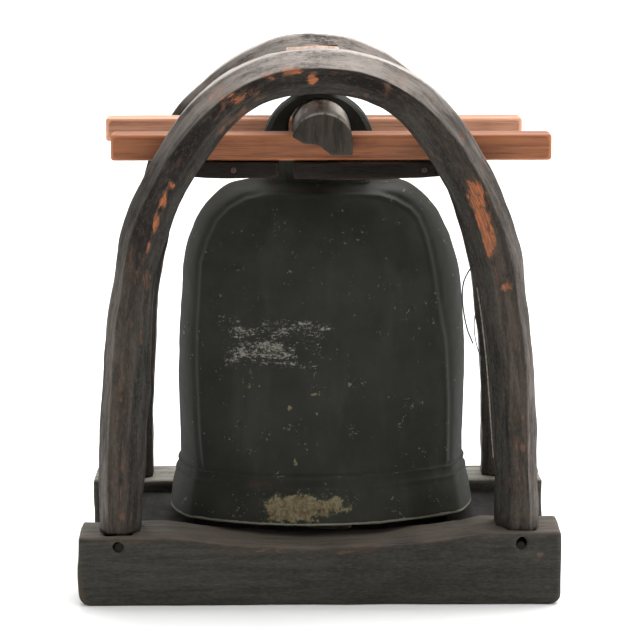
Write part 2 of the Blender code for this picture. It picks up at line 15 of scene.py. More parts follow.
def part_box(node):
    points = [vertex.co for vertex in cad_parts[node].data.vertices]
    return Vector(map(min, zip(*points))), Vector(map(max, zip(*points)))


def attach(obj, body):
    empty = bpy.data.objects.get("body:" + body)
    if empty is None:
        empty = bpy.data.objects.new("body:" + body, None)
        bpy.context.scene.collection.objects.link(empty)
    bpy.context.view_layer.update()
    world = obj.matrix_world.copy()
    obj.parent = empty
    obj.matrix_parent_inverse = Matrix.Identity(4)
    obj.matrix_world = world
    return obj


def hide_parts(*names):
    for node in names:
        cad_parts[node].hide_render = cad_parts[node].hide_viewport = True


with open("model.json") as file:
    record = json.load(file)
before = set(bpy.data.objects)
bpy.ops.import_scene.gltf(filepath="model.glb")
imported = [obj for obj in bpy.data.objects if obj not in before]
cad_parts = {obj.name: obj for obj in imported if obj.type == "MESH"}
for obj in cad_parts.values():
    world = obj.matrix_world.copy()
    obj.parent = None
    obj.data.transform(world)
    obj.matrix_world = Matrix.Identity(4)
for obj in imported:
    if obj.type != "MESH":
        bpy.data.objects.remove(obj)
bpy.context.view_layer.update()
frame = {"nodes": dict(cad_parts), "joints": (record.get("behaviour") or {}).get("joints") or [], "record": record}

NODES = frame["nodes"]
BODY_OF = {n: body for body, names in frame["record"]["behaviour"]["bodies"].items() for n in names}
JOINTS = {j["name"]: j for j in frame["joints"]}

FRONT, REAR = -1, 1
SIDES = {"front": FRONT, "rear": REAR}
HANDS = {"left": -1, "right": 1}
RAIL_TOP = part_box("front_base_rail")[1].z
BOARD_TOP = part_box("front_left_rest_board")[1].z
BEAM_AXIS = Vector(JOINTS["bell_swing"]["pos_m"])
MM = 1000  # millimetres in a metre: the tables of stations, strays and spots are in millimetres


# ---------------- camera, cord, stage and light

CAMERA_PLACE = (-0.028, -2.490, 0.787)
CAMERA_PITCH = 12  # degrees below the horizon
CAMERA_YAW = -0.68  # degrees from +Y, towards +X
CAMERA_LENS = 141.6
SENSOR_WIDTH = 36
FLOOR_HALF = 40
# Where the room's light starts and stops changing along each axis, and its strengths there
ROOM_FADES = {"Y": (-0.85, 0.35, 0.12, 1.15), "Z": (0.45, 0.95, 1.0, 2.4)}
# Name, kind, place, turn in degrees, power, and size in metres or the sun's in degrees
LAMPS = (
    ("top light", "SUN", (0, 0, 0), (-24, 16, 0), 2.6, 50),
    ("front fill", "AREA", (1.4, -2.6, 2.2), (52, 0, 28), 6, 1.8),
    ("right fill", "AREA", (2.6, -0.9, 1.0), (72, 0, 71), 26, 1.2),
)


def make_camera():
    data = bpy.data.cameras.new("camera")
    data.lens = CAMERA_LENS
    data.sensor_width = SENSOR_WIDTH
    camera = add_object("camera", data)
    camera.location = CAMERA_PLACE
    camera.rotation_euler = (math.radians(90 - CAMERA_PITCH), 0, math.radians(CAMERA_YAW))
    bpy.context.scene.camera = camera


def make_stage():
    """A plain pale floor that reaches past the view."""
    bm = bmesh.new()
    bmesh.ops.create_grid(bm, x_segments=1, y_segments=1, size=FLOOR_HALF)
    floor = add_mesh("floor", bm)
    look = Look("pale floor")
    look.set("Base Color", (0.86, 0.86, 0.855, 1))
    look.set("Roughness", 0.9)
    look.set("Specular IOR Level", 0.1)
    coat(floor, look.material)


def make_light():
    """A white room, dim at the front and brightest overhead, a high sun and two soft fills."""
    scene = bpy.context.scene
    scene.view_settings.view_transform = "Standard"
    scene.view_settings.look = "None"
    world = bpy.data.worlds.new("studio")
    world.use_nodes = True
    scene.world = world
    tree = world.node_tree
    ray = tree.nodes.new("ShaderNodeTexCoord")
    parts = tree.nodes.new("ShaderNodeSeparateXYZ")
    tree.links.new(ray.outputs["Generated"], parts.inputs[0])
    product = tree.nodes.new("ShaderNodeMath")
    product.operation = "MULTIPLY"
    for i, (axis, values) in enumerate(ROOM_FADES.items()):
        fade = tree.nodes.new("ShaderNodeMapRange")
        fade.interpolation_type = "SMOOTHSTEP"
        for key, value in zip(("From Min", "From Max", "To Min", "To Max"), values):
            fade.inputs[key].default_value = value
        tree.links.new(parts.outputs[axis], fade.inputs["Value"])
        tree.links.new(fade.outputs[0], product.inputs[i])
    backdrop = tree.nodes["Background"]
    backdrop.inputs["Color"].default_value = (1, 1, 1, 1)
    tree.links.new(product.outputs[0], backdrop.inputs["Strength"])
    for lamp in LAMPS:
        add_lamp(*lamp)


def add_lamp(name, kind, place, degrees, energy, size):
    data = bpy.data.lights.new(name, kind)
    data.energy = energy
    if kind == "SUN":
        data.angle = math.radians(size)
    else:
        data.size = size
    lamp = add_object(name, data)
    lamp.location = place
    lamp.rotation_euler = [math.radians(turn) for turn in degrees]


# ---------------- mesh tools


def add_object(name, data):
    obj = bpy.data.objects.new(name, data)
    bpy.context.scene.collection.objects.link(obj)
    return obj


def add_mesh(name, bm):
    mesh = bpy.data.meshes.new(name)
    bm.to_mesh(mesh)
    bm.free()
    return add_object(name, mesh)


def coat(obj, material):
    """Gives an object one material in place of any it had."""
    obj.data.materials.clear()
    obj.data.materials.append(material)


def vectors_of(items, field):
    values = np.empty(len(items) * 3, np.float32)
    items.foreach_get(field, values)
    return values.reshape(-1, 3).astype(float)


def points_of(mesh):
    return vectors_of(mesh.vertices, "co")


def normals_of(mesh):
    return vectors_of(mesh.vertex_normals, "vector")


def set_points(mesh, points):
    mesh.vertices.foreach_set("co", np.ascontiguousarray(points, np.float32).reshape(-1))
    mesh.update()


def set_attribute(mesh, name, values):
    """Stores a number or a vector for each vertex, for the materials to read."""
    values = np.asarray(values, np.float32)
    kind, field = ("FLOAT", "value") if values.ndim == 1 else ("FLOAT_VECTOR", "vector")
    attribute = mesh.attributes.new(name, kind, "POINT")
    attribute.data.foreach_set(field, np.ascontiguousarray(values).reshape(-1))


def edge_ends(mesh):
    ends = np.empty(len(mesh.edges) * 2, np.int32)
    mesh.edges.foreach_get("vertices", ends)
    return ends.reshape(-1, 2)


def neighbour_mean(values, ends, counts):
    total = np.zeros_like(values)
    np.add.at(total, ends[:, 0], values[ends[:, 1]])
    np.add.at(total, ends[:, 1], values[ends[:, 0]])
    return total / counts


def convexity(mesh, reach=2, spread=3):
    """From 0 on flat or hollow stretches to about 1 on outer edges, for edge wear."""
    ends = edge_ends(mesh)
    counts = np.maximum(np.bincount(ends.reshape(-1), minlength=len(mesh.vertices)), 1)[:, None]
    points, normals = points_of(mesh), normals_of(mesh)
    smooth = points
    for _ in range(reach):
        smooth = neighbour_mean(smooth, ends, counts)
    bulge = ((points - smooth) * normals).sum(1)[:, None]
    for _ in range(spread):
        bulge = 0.5 * bulge + 0.5 * neighbour_mean(bulge, ends, counts)
    top = max(np.percentile(bulge, 98.5), 1e-7)
    return np.clip(bulge[:, 0] / top, 0, 1)


def noise_at(points, size, octaves=2, seed=0.0):
    """Smooth noise of about -1 to 1 at each point. size is one feature's size for each axis."""
    scaled = points / np.asarray(size, float) + seed
    return np.array([noise.fractal(p, 1.0, 2.0, octaves, noise_basis="PERLIN_ORIGINAL") for p in scaled])


def adze_cuts(points, size, seed=0.0):
    """Shallow scallops side by side: 0 in the middle of each cut and about 1 on the ridges."""
    scaled = points / np.asarray(size, float) + seed
    nearest = np.array([noise.voronoi(p)[0][0] for p in scaled])
    return np.clip(nearest, 0, 1.1) ** 2


def push(mesh, amounts):
    """Moves each vertex along its normal."""
    set_points(mesh, points_of(mesh) + normals_of(mesh) * np.asarray(amounts)[:, None])


def loft(name, rings):
    """A mesh through rings of points, an array of (rings, points, 3), with its two ends closed."""
    rings = np.asarray(rings, float)
    count, around = rings.shape[:2]
    index = np.arange(count * around).reshape(count, around)
    upper, lower = index[1:], index[:-1]
    quads = np.stack([lower, np.roll(lower, -1, 1), np.roll(upper, -1, 1), upper], -1).reshape(-1, 4)
    faces = [*quads.tolist(), index[0][::-1].tolist(), index[-1].tolist()]
    mesh = bpy.data.meshes.new(name)
    mesh.from_pydata(rings.reshape(-1, 3).tolist(), [], faces)
    mesh.update()
    mesh.shade_smooth()
    return add_object(name, mesh)


def evened(line, count):
    """count points at even steps along a line of points."""
    line = np.asarray(line, float)
    steps = np.linalg.norm(np.diff(line, axis=0), axis=1)
    along = np.concatenate([[0], np.cumsum(steps)])
    wanted = np.linspace(0, along[-1], count)
    return np.stack([np.interp(wanted, along, line[:, i]) for i in range(line.shape[1])], 1)


def smooth_curve(points, steps):
    """Points on a Catmull-Rom curve through the given points, steps to each span."""
    points = np.asarray(points, float)
    ends = np.vstack([2 * points[0] - points[1], points, 2 * points[-1] - points[-2]])
    curve = []
    for a, b, c, d in zip(ends, ends[1:], ends[2:], ends[3:]):
        for t in np.linspace(0, 1, steps, endpoint=False):
            curve.append(0.5 * (2 * b + (c - a) * t + (2 * a - 5 * b + 4 * c - d) * t ** 2
                                + (3 * b - a - 3 * c + d) * t ** 3))
    return [*curve, points[-1]]


def bump_curve(values, middle, width):
    """1 at middle, falling smoothly to 0 about two widths away."""
    return np.exp(-((values - middle) / width) ** 2)


def stands_for(piece, node, material):
    """Finishes a piece that replaces one CAD node."""
    coat(piece, material)
    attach(piece, BODY_OF[node])
    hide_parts(node)
    return piece


# ---------------- material tools


def scaled(colour, factor):
    """A colour made darker or lighter."""
    return tuple(min(1, factor * c) for c in colour)


class Look:
    """A material, with short calls that add nodes to it and return their output sockets."""

    def __init__(self, name):
        self.material = bpy.data.materials.new(name)
        self.material.use_nodes = True
        self.tree = self.material.node_tree
        self.shader = self.tree.nodes["Principled BSDF"]

    def set(self, socket, value):
        self.feed(self.shader.inputs[socket], value)

    def feed(self, socket, value):
        if isinstance(value, bpy.types.NodeSocket):
            self.tree.links.new(value, socket)
        else:
            socket.default_value = value

    def node(self, kind, inputs, **settings):
        node = self.tree.nodes.new("ShaderNode" + kind)
        for key, value in settings.items():
            setattr(node, key, value)
        for key, value in inputs.items():
            self.feed(node.inputs[key], value)
        return node

    def place(self, scale=(1, 1, 1)):
        """The place on the object in metres, times scale."""
        here = self.node("TexCoord", {}).outputs["Object"]
        return self.node("Mapping", {"Vector": here, "Scale": scale}).outputs[0]

    def grain(self, scale):
        """The place along and across the wood's grain in metres, times scale."""
        here = self.node("Attribute", {}, attribute_name="grain").outputs["Vector"]
        return self.node("Mapping", {"Vector": here, "Scale": scale}).outputs[0]

    def attribute(self, name):
        return self.node("Attribute", {}, attribute_name=name).outputs["Fac"]

    def noise(self, vector, scale=1.0, detail=4, roughness=0.55, distortion=0.0):
        inputs = {"Vector": vector, "Scale": scale, "Detail": detail, "Roughness": roughness,
                  "Distortion": distortion}
        return self.node("TexNoise", inputs).outputs["Fac"]

    def spots(self, vector, scale):
        """The distance to the nearest of many scattered points."""
        return self.node("TexVoronoi", {"Vector": vector, "Scale": scale}).outputs["Distance"]

    def math(self, operation, first, second=0.0):
        return self.node("Math", {0: first, 1: second}, operation=operation).outputs[0]

    def add(self, *values):
        total = values[0]
        for value in values[1:]:
            total = self.math("ADD", total, value)
        return total

    def times(self, first, second):
        return self.math("MULTIPLY", first, second)

    def between(self, value, low, high, start=0.0, end=1.0):
        """start where value is at most low, end where it is at least high, and smooth between."""
        inputs = {"Value": value, "From Min": low, "From Max": high, "To Min": start, "To Max": end}
        return self.node("MapRange", inputs, interpolation_type="SMOOTHSTEP").outputs[0]

    def mix(self, share, first, second):
        node = self.tree.nodes.new("ShaderNodeMix")
        node.data_type = "RGBA"
        for socket, value in zip((node.inputs[0], node.inputs[6], node.inputs[7]), (share, first, second)):
            if isinstance(value, tuple) and len(value) == 3:
                value = (*value, 1)
            self.feed(socket, value)
        return node.outputs[2]

    def over(self, colour, value, low, high, most, other):
        """Another colour laid over the first, from not at all where value is low to most at high."""
        return self.mix(self.between(value, low, high, 0, most), colour, other)

    def facing_up(self, low, high):
        """1 on faces that look up, in the object's own frame."""
        normal = self.node("TexCoord", {}).outputs["Normal"]
        upward = self.node("SeparateXYZ", {0: normal}).outputs["Z"]
        return self.between(upward, low, high)

    def bump(self, height, distance, strength=1.0, under=None):
        inputs = {"Height": height, "Distance": distance, "Strength": strength}
        if under is not None:
            inputs["Normal"] = under
        return self.node("Bump", inputs).outputs["Normal"]


def old_wood(name, dark, brown, worn, pale, pale_share=0.6, orange=None, facets=None):
    """Stained wood with long grain: worn colour at edges and marked spots, pale tops partly dusty and partly
    painted sheen.

    facets gives the tones of a hewn bow's inner and outer cut corners, and of its crown.
    """
    look = Look(name)
    streaks = look.noise(look.grain((14, 150, 150)), detail=5, distortion=0.3)
    fibres = look.noise(look.grain((60, 900, 900)), detail=3, roughness=0.65)
    blotches = look.noise(look.place(), scale=16, detail=5, roughness=0.6)
    clouds = look.noise(look.place(), scale=5, detail=3)
    colour = look.mix(look.between(streaks, 0.32, 0.68), dark, brown)
    colour = look.over(colour, clouds, 0.45, 0.7, 0.5, scaled(dark, 0.55))
    colour = look.over(colour, fibres, 0.55, 0.75, 0.35, scaled(brown, 1.7))
    if facets:
        tone = look.between(look.add(look.times(streaks, 0.6), look.times(fibres, 0.4)), 0.40, 0.62)
        for word, hue in facets.items():
            share = look.times(look.attribute(word), look.between(blotches, 0.3, 0.6, 0.55, 0.95))
            colour = look.mix(share, colour, look.mix(tone, scaled(hue, 0.40), scaled(hue, 1.2)))
    grit = look.noise(look.grain((180, 520, 520)), detail=6, roughness=0.8)
    colour = look.over(colour, grit, 0.50, 0.68, 0.6, scaled(dark, 0.4))
    colour = look.over(colour, grit, 0.50, 0.34, 0.35, scaled(brown, 1.6))
    breakup = look.add(look.times(blotches, 0.9), look.times(fibres, 0.5))
    edge = look.times(look.between(look.attribute("edge"), 0.2, 0.9), look.between(breakup, 0.62, 0.85))
    colour = look.mix(look.times(edge, 0.75), colour, worn)
    bits = look.noise(look.grain((70, 260, 260)), detail=6, roughness=0.7)
    marked = look.between(look.attribute("worn"), 0.0, 0.2)
    spot = look.add(look.attribute("worn"), look.times(marked, look.times(look.add(bits, -0.5), 3.2)))
    colour = look.over(colour, spot, 0.18, 0.50, 0.8, scaled(worn, 0.65))
    spot_colour = look.mix(look.between(fibres, 0.4, 0.62), worn, orange or worn)
    colour = look.over(colour, spot, 0.52, 0.70, 0.95, spot_colour)
    # Pale on faces that look up: partly dusty wood and partly a painted sheen of the light from above.
    upward = look.facing_up(0.30, 0.85)
    dust_and_sheen = look.times(upward, look.between(look.add(streaks, blotches, grit), 1.15, 1.65))
    colour = look.mix(look.times(dust_and_sheen, pale_share), colour, pale)
    look.set("Base Color", colour)
    look.set("Roughness", look.between(blotches, 0.3, 0.7, 0.55, 0.85))
    look.set("Specular IOR Level", 0.15)
    grainy = look.add(look.times(streaks, 0.6), look.times(fibres, 0.4))
    coarse = look.bump(grainy, 0.0011, 0.8)
    pits = look.between(look.noise(look.grain((90, 420, 420)), detail=2), 0.28, 0.45)
    look.set("Normal", look.bump(pits, 0.0006, 0.6, under=coarse))
    return look.material


def bare_wood(name, light, dark, red, roughness=(0.5, 0.7)):
    """Planed bare wood: fine straight grain with long darker streaks and soft saw or plane marks."""
    look = Look(name)
    streaks = look.noise(look.grain((5, 120, 120)), detail=6, roughness=0.6, distortion=0.4)
    fibres = look.noise(look.grain((40, 1200, 1200)), detail=3, roughness=0.7)
    patches = look.noise(look.place(), scale=11, detail=3)
    colour = look.mix(look.between(streaks, 0.3, 0.7), light, red)
    dark_grain = look.add(look.times(streaks, 0.6), look.times(fibres, 0.5))
    colour = look.over(colour, dark_grain, 0.52, 0.72, 0.7, dark)
    colour = look.over(colour, patches, 0.5, 0.75, 0.5, dark)
    lines = look.noise(look.grain((9, 420, 420)), detail=5, roughness=0.75, distortion=0.3)
    colour = look.over(colour, lines, 0.54, 0.66, 0.65, scaled(dark, 0.8))
    colour = look.over(colour, lines, 0.46, 0.36, 0.45, scaled(light, 1.35))
    wear = look.between(look.add(look.attribute("edge"), look.times(fibres, 0.6)), 0.75, 1.2)
    colour = look.mix(look.times(wear, 0.6), colour, scaled(light, 1.5))
    dirt = look.between(look.add(look.attribute("worn"), look.times(patches, 0.8)), 0.9, 1.25)
    colour = look.mix(look.times(dirt, 0.8), colour, scaled(dark, 0.25))
    look.set("Base Color", colour)
    look.set("Roughness", look.between(patches, 0.3, 0.7, *roughness))
    look.set("Specular IOR Level", 0.4)
    look.set("Normal", look.bump(look.add(look.times(streaks, 0.5), look.times(fibres, 0.5)), 0.0007, 0.7))
    return look.material


def bronze_patina():
    """Near-black bronze: cloudy patina, pale scratched residue, buff and green corrosion, worn lip, painted
    highlights on ridges.
    """
    look = Look("bronze patina")
    clouds = look.noise(look.place(), scale=11, detail=6, roughness=0.62)
    fine = look.noise(look.place(), scale=260, detail=4, roughness=0.7)
    medium = look.noise(look.place(), scale=55, detail=5, roughness=0.65)
    smear = look.noise(look.place((26, 26, 7)), detail=5, roughness=0.6, distortion=0.5)
    colour = look.mix(look.between(clouds, 0.3, 0.7), (0.013, 0.0135, 0.0105), (0.026, 0.0265, 0.021))
    colour = look.over(colour, smear, 0.5, 0.75, 0.55, (0.036, 0.036, 0.030))
    colour = look.over(colour, medium, 0.58, 0.72, 0.5, (0.012, 0.012, 0.010))
    specks = look.times(look.between(fine, 0.58, 0.65), look.between(medium, 0.52, 0.62))
    speck = look.between(specks, 0.2, 0.8)
    colour = look.mix(look.times(speck, 0.75), colour, (0.15, 0.145, 0.115))
    # pale scratched residue
    scratch = look.noise(look.place((90, 90, 420)), detail=4, roughness=0.7)
    grit = look.noise(look.place((300, 300, 480)), detail=6, roughness=0.8)
    uneven = look.add(look.times(look.add(grit, -0.5), 1.3), look.times(look.add(medium, -0.5), 0.9),
                      look.times(look.add(scratch, -0.5), 0.5))
    residue = look.between(look.add(look.attribute("residue"), uneven), 0.50, 0.66)
    scratched = look.mix(look.between(grit, 0.4, 0.65), (0.10, 0.098, 0.080), (0.30, 0.29, 0.25))
    colour = look.mix(look.times(residue, 0.75), colour, scratched)
    # thick buff corrosion with a greenish rim
    holes = look.noise(look.place(), scale=130, detail=6, roughness=0.72)
    crust = look.add(look.attribute("crust"), look.times(medium, 0.35), look.times(holes, 1.1))
    colour = look.over(colour, crust, 1.24, 1.32, 0.6, (0.050, 0.056, 0.034))
    buff = look.mix(look.between(fine, 0.4, 0.6), (0.105, 0.074, 0.038), (0.170, 0.147, 0.092))
    colour = look.over(colour, crust, 1.33, 1.39, 0.95, buff)
    green = look.between(look.add(look.attribute("green"), look.times(medium, 0.8)), 1.08, 1.2)
    colour = look.mix(look.times(green, 0.8), colour, (0.16, 0.19, 0.12))
    rust = look.between(look.add(look.attribute("rust"), look.times(medium, 0.7)), 0.85, 1.2)
    colour = look.mix(look.times(rust, 0.6), colour, (0.075, 0.035, 0.022))
    # bright edges: rubbed bronze on the lip, and partly rubbed, partly painted highlight on the bands, the flare's
    # corner creases and the frame line's ridge
    rubbed_and_highlit = look.between(look.add(look.attribute("edge"), look.times(medium, 0.7), look.times(fine, 0.3)),
                          1.08, 1.3)
    colour = look.mix(look.times(rubbed_and_highlit, 0.75), colour, (0.27, 0.25, 0.20))
    look.set("Base Color", colour)
    look.set("Metallic", 0.10)
    rough = look.between(clouds, 0.3, 0.7, 0.56, 0.72)
    rough = look.add(rough, look.between(crust, 1.24, 1.40, 0, 0.25))
    look.set("Roughness", rough)
    look.set("Specular IOR Level", 0.14)
    height = look.add(look.times(clouds, 0.5), look.times(medium, 0.35), look.times(fine, 0.15))
    cast = look.bump(height, 0.0016, 0.55)
    crusty = look.between(crust, 1.26, 1.42)
    look.set("Normal", look.bump(look.times(crusty, look.add(fine, medium)), 0.0008, 0.8, under=cast))
    return look.material


def rusty_iron():
    look = Look("rusty iron")
    grit = look.noise(look.place(), scale=900, detail=4, roughness=0.7)
    patches = look.noise(look.place(), scale=180, detail=4)
    colour = look.mix(look.between(patches, 0.4, 0.6), (0.030, 0.026, 0.023), (0.095, 0.045, 0.025))
    colour = look.over(colour, grit, 0.55, 0.7, 0.6, (0.16, 0.09, 0.055))
    look.set("Base Color", colour)
    look.set("Metallic", 0.5)
    look.set("Roughness", look.between(grit, 0.3, 0.7, 0.55, 0.85))
    look.set("Normal", look.bump(grit, 0.0004, 0.7))
    return look.material


def black_wire():
    look = Look("black wire")
    grit = look.noise(look.place(), scale=1500, detail=3)
    colour = look.mix(look.between(grit, 0.45, 0.7), (0.006, 0.006, 0.006), (0.022, 0.020, 0.018))
    look.set("Base Color", colour)
    look.set("Roughness", look.between(grit, 0.3, 0.7, 0.45, 0.65))
    look.set("Normal", look.bump(grit, 0.0002, 0.5))
    return look.material


def twine():
    look = Look("twine")
    turns = look.noise(look.place((900, 900, 350)), detail=3, roughness=0.7)
    colour = look.mix(look.between(turns, 0.35, 0.65), (0.20, 0.18, 0.15), (0.50, 0.47, 0.40))
    look.set("Base Color", colour)
    look.set("Roughness", 0.95)
    look.set("Sheen Weight", 0.3)
    look.set("Normal", look.bump(turns, 0.0004, 0.8))
    return look.material


# ---------------- carved wooden pieces

SAME_POINT = 1e-6
WOBBLE_SIZE = (0.05, 0.05, 0.05)
MEAN_CUT = 0.6


def carved(node, material, voxel=0.002, wobble=0.0005, cut_size=None, cut_depth=0.0, grain="x",
           soften=3, spots=(), seed=0.0, grain_scale=(1, 1, 1), ceiling=None):
    """A CAD piece as hand-worked wood: its solid evened out, its edges softened, its faces uneven."""
    bm = bmesh.new()
    bm.from_mesh(bpy.data.meshes.new_from_object(NODES[node]))
    bmesh.ops.remove_doubles(bm, verts=bm.verts, dist=SAME_POINT)
    blank = add_mesh(f"{node}_carved", bm)
    even = blank.modifiers.new("even", "REMESH")
    even.mode = "VOXEL"
    even.voxel_size = voxel
    soft = blank.modifiers.new("soft", "SMOOTH")
    soft.iterations = soften
    soft.factor = 0.5
    bpy.context.view_layer.update()
    mesh = bpy.data.meshes.new_from_object(blank.evaluated_get(bpy.context.evaluated_depsgraph_get()))
    blank.modifiers.clear()
    blank.data = mesh
    set_points(mesh, reshaped(node, points_of(mesh)))
    points = points_of(mesh)
    amounts = noise_at(points, WOBBLE_SIZE, 2, seed) * wobble
    if cut_size:
        amounts += (adze_cuts(points, cut_size, seed) - MEAN_CUT) * cut_depth
    push(mesh, amounts)
    if ceiling:
        points = points_of(mesh)
        points[:, 2] = np.minimum(points[:, 2], ceiling)
        set_points(mesh, points)
    mesh.shade_smooth()
    order = {"x": (0, 1, 2), "y": (1, 0, 2), "z": (2, 0, 1)}[grain]
    set_attribute(mesh, "grain", points[:, order] * grain_scale + seed)
    set_attribute(mesh, "edge", convexity(mesh))
    set_attribute(mesh, "worn", spot_values(points, spots))
    return stands_for(blank, node, material)


# How far the top of the front rail stands above the even dish, by distance to the right
RAIL_TOP_STRAYS = ((-80, 0), (-34, 1.7), (0, 2.3), (31, 3.1),
                   (62, 1.5), (110, 0), (140, 1), (158, 4.6), (235, 4.4))
# Scale and shift of the pieces that differ a little from their CAD solids. The rear peg's end
# shows on the cut corner that faces the front.
MOVES = {
    "front_base_rail": ((1.006, 1, 1), (0, 0, 0)),
    "rear_base_rail": ((1.010, 1, 1), (0.0006, 0, 0)),
    "front_crown_peg": ((1, 1, 1), (0, 0, -0.003)),
    "rear_crown_peg": ((1.35, 1, 1), (0.010, -0.008, -0.012)),
    "hanger_beam": ((1, 1, 1), (0.0025, 0, 0)),
}
# A pole has a little room round it in its notch: its share of the height, and how far to the right
POLE_FITS = {"front_pole": (0.965, 0.0), "rear_pole": (0.90, 0.0022)}
POLE_WIDTH_SHARE = 0.96
POLE_LIFT = 0.0003
BOARD_HEIGHT_SHARE = 0.93


def reshaped(node, points):
    """Points of a CAD solid where the piece's own shape has them."""
    if node == "front_base_rail":
        rise = np.interp(points[:, 0], *np.divide(RAIL_TOP_STRAYS, MM).T)
        points[:, 2] += rise * np.clip(points[:, 2] / RAIL_TOP, 0, 1) ** 2
    if node in MOVES:
        scale, shift = MOVES[node]
        points = points * scale + shift
    if node in POLE_FITS:
        height_share, shift = POLE_FITS[node]
        middle, low = points[:, 1].mean(), points[:, 2].min()
        points[:, 0] += shift
        points[:, 1] = middle + (points[:, 1] - middle) * POLE_WIDTH_SHARE
        points[:, 2] = low + POLE_LIFT + (points[:, 2] - low) * height_share
    if node.endswith("_rest_board"):
        top = points[:, 2].max()
        points[:, 2] = top - (top - points[:, 2]) * BOARD_HEIGHT_SHARE
    return points


def spot_values(points, spots):
    """Full in the middle of each spot, 0 outside. A spot has a centre, half sizes and a strength."""
    values = np.zeros(len(points))
    for centre, half, strength in spots:
        offset = (points - np.divide(centre, MM)) / np.divide(half, MM)
        distance = np.sqrt((offset ** 2).sum(1))
        values = np.maximum(values, strength * np.clip(1.25 - distance, 0, 1))
    return values


# ---------------- arches

# Powers of the outer and inner superellipses, and how far the crown leans to the right
ARCH_CURVES = {"front": (2.45, 2.40, 0.0), "rear": (2.25, 2.25, -0.005)}
LEG_WIDTH = 0.043
CROWN_DEPTH = 0.040
ARCH_RINGS = 380
FLAT_STOPS = (0, 0.05, 0.20, 0.35, 0.50, 0.65, 0.80, 0.95)
CUT_STOPS = (0, 0.07, 0.36, 0.64, 0.93)
# Corners of a section in order: inner near, outer near, outer far, inner far
INNER_CUT, OUTER_CUT = 0, 1
ARCH_LIFT = 0.0004
REAR_CROWN_DROP = 0.001
FRONT_HUMP, FRONT_HUMP_HALF = 0.0015, 0.10
BOW_LENGTH = 1.35
CROWN_REACH = 0.17
FOOT_REACH = 0.03
STRAY_FADE = 0.05
# How far the edges of each arch stray to the right of their even curves, by height
ARCH_STRAYS = {
    ("front", "outer", "left"):
        ((70, 1.5), (144, 1), (264, 1), (303, -1), (323, -1), (342, -3), (362, -5), (385, -5),
         (410, -2), (440, 0)),
    ("front", "inner", "left"):
        ((70, -2), (104, 0), (164, 3), (204, 4), (254, 0), (303, -5), (333, -6.5), (362, -5),
         (400, -5), (440, 0)),
    ("front", "outer", "right"):
        ((70, -2), (144, -4.5), (184, -5), (224, -3), (264, -3), (303, -2), (323, 1), (345, 3),
         (400, 2), (421.5, 2), (450, 0)),
    ("front", "inner", "right"):
        ((264, -1), (303, 0), (480, -2), (492, -3), (500, 0)),
    ("rear", "outer", "left"):
        ((345, 0), (368, -4), (384, -7), (403, -10), (462, -9), (475, -6), (487, -4), (510, 1),
         (530, 3)),
    ("rear", "inner", "left"):
        ((70, 0), (200, -2), (300, -7), (390, -8), (430, -3), (460, 0)),
    ("rear", "outer", "right"):
        ((510, 0), (530, -3)),
    ("rear", "inner", "right"):
        ((70, 0), (200, 2), (300, 6), (380, 6), (430, 2), (460, 0)),
}


def superellipse_line(half_width, height, power, base, steps=1500):
    """The upper half of a superellipse from right to left, as x and z."""
    angle = np.linspace(0, math.pi, steps)
    cosine, sine = np.cos(angle), np.abs(np.sin(angle))
    x = half_width * np.sign(cosine) * np.abs(cosine) ** (2 / power)
    return np.stack([x, base + height * sine ** (2 / power)], 1)


def chamfered_section(chamfers):
    """Points round a unit square with cut corners: each corner's cut as a share of both sides."""
    corners = [(0, 0), (1, 0), (1, 1), (0, 1)]
    outline = []
    for i, ((x, y), (cut_x, cut_y)) in enumerate(zip(corners, chamfers)):
        before, after = corners[i - 1], corners[(i + 1) % 4]
        for other in (before, after):
            outline.append((x + (other[0] - x) * cut_x, y + (other[1] - y) * cut_y))
    points = []
    for i, start in enumerate(outline):
        end = outline[(i + 1) % len(outline)]
        for t in CUT_STOPS if i % 2 == 0 else FLAT_STOPS:
            points.append((start[0] + (end[0] - start[0]) * t, start[1] + (end[1] - start[1]) * t))
    return np.array(points)


def facet_values(corner):
    """1 on the cut at one corner of the section, 0 on the rest and half on the cut's two arrises."""
    values = []
    for i in range(8):
        stops = CUT_STOPS if i % 2 == 0 else FLAT_STOPS
        values += [1.0 if i == 2 * corner else 0.0] * len(stops)
        if i in (2 * corner, 2 * corner + 1):
            values[-len(stops)] = 0.5
    return np.array(values)


def strayed(line, word, edge):
    """An edge line of an arch with its own unevenness, eased along its length."""
    shift = np.zeros(len(line))
    for hand, half in HANDS.items():
        heights, strays = np.divide(ARCH_STRAYS[word, edge, hand], MM).T
        fade = np.clip(np.abs(line[:, 0]) / STRAY_FADE, 0, 1) * (line[:, 0] * half > 0)
        shift += np.interp(line[:, 1], heights, strays, right=0.0) * fade
    for _ in range(12):
        shift = 0.5 * shift + 0.25 * (np.append(shift[1:], shift[-1]) + np.append(shift[0], shift[:-1]))
    return line + np.stack([shift, np.zeros(len(line))], 1)


def arch_height(word):
    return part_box(f"{word}_arch")[1].z - RAIL_TOP - (REAR_CROWN_DROP if word == "rear" else 0)


def arch_edges(word):
    """The outer and inner edge lines of an arch, from its right foot to its left."""
    half_width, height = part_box(f"{word}_arch")[1].x, arch_height(word)
    outer_power, inner_power, _ = ARCH_CURVES[word]
    base = RAIL_TOP + ARCH_LIFT
    outer = superellipse_line(half_width, height, outer_power, base)
    inner = superellipse_line(half_width - LEG_WIDTH, height - CROWN_DEPTH, inner_power, base)
    outer, inner = evened(outer, ARCH_RINGS), evened(inner, ARCH_RINGS)
    outer, inner = strayed(outer, word, "outer"), strayed(inner, word, "inner")
    if word == "front":
        inner[:, 1] += FRONT_HUMP * np.clip(1 - np.abs(inner[:, 0]) / FRONT_HUMP_HALF, 0, 1)
    return outer, inner


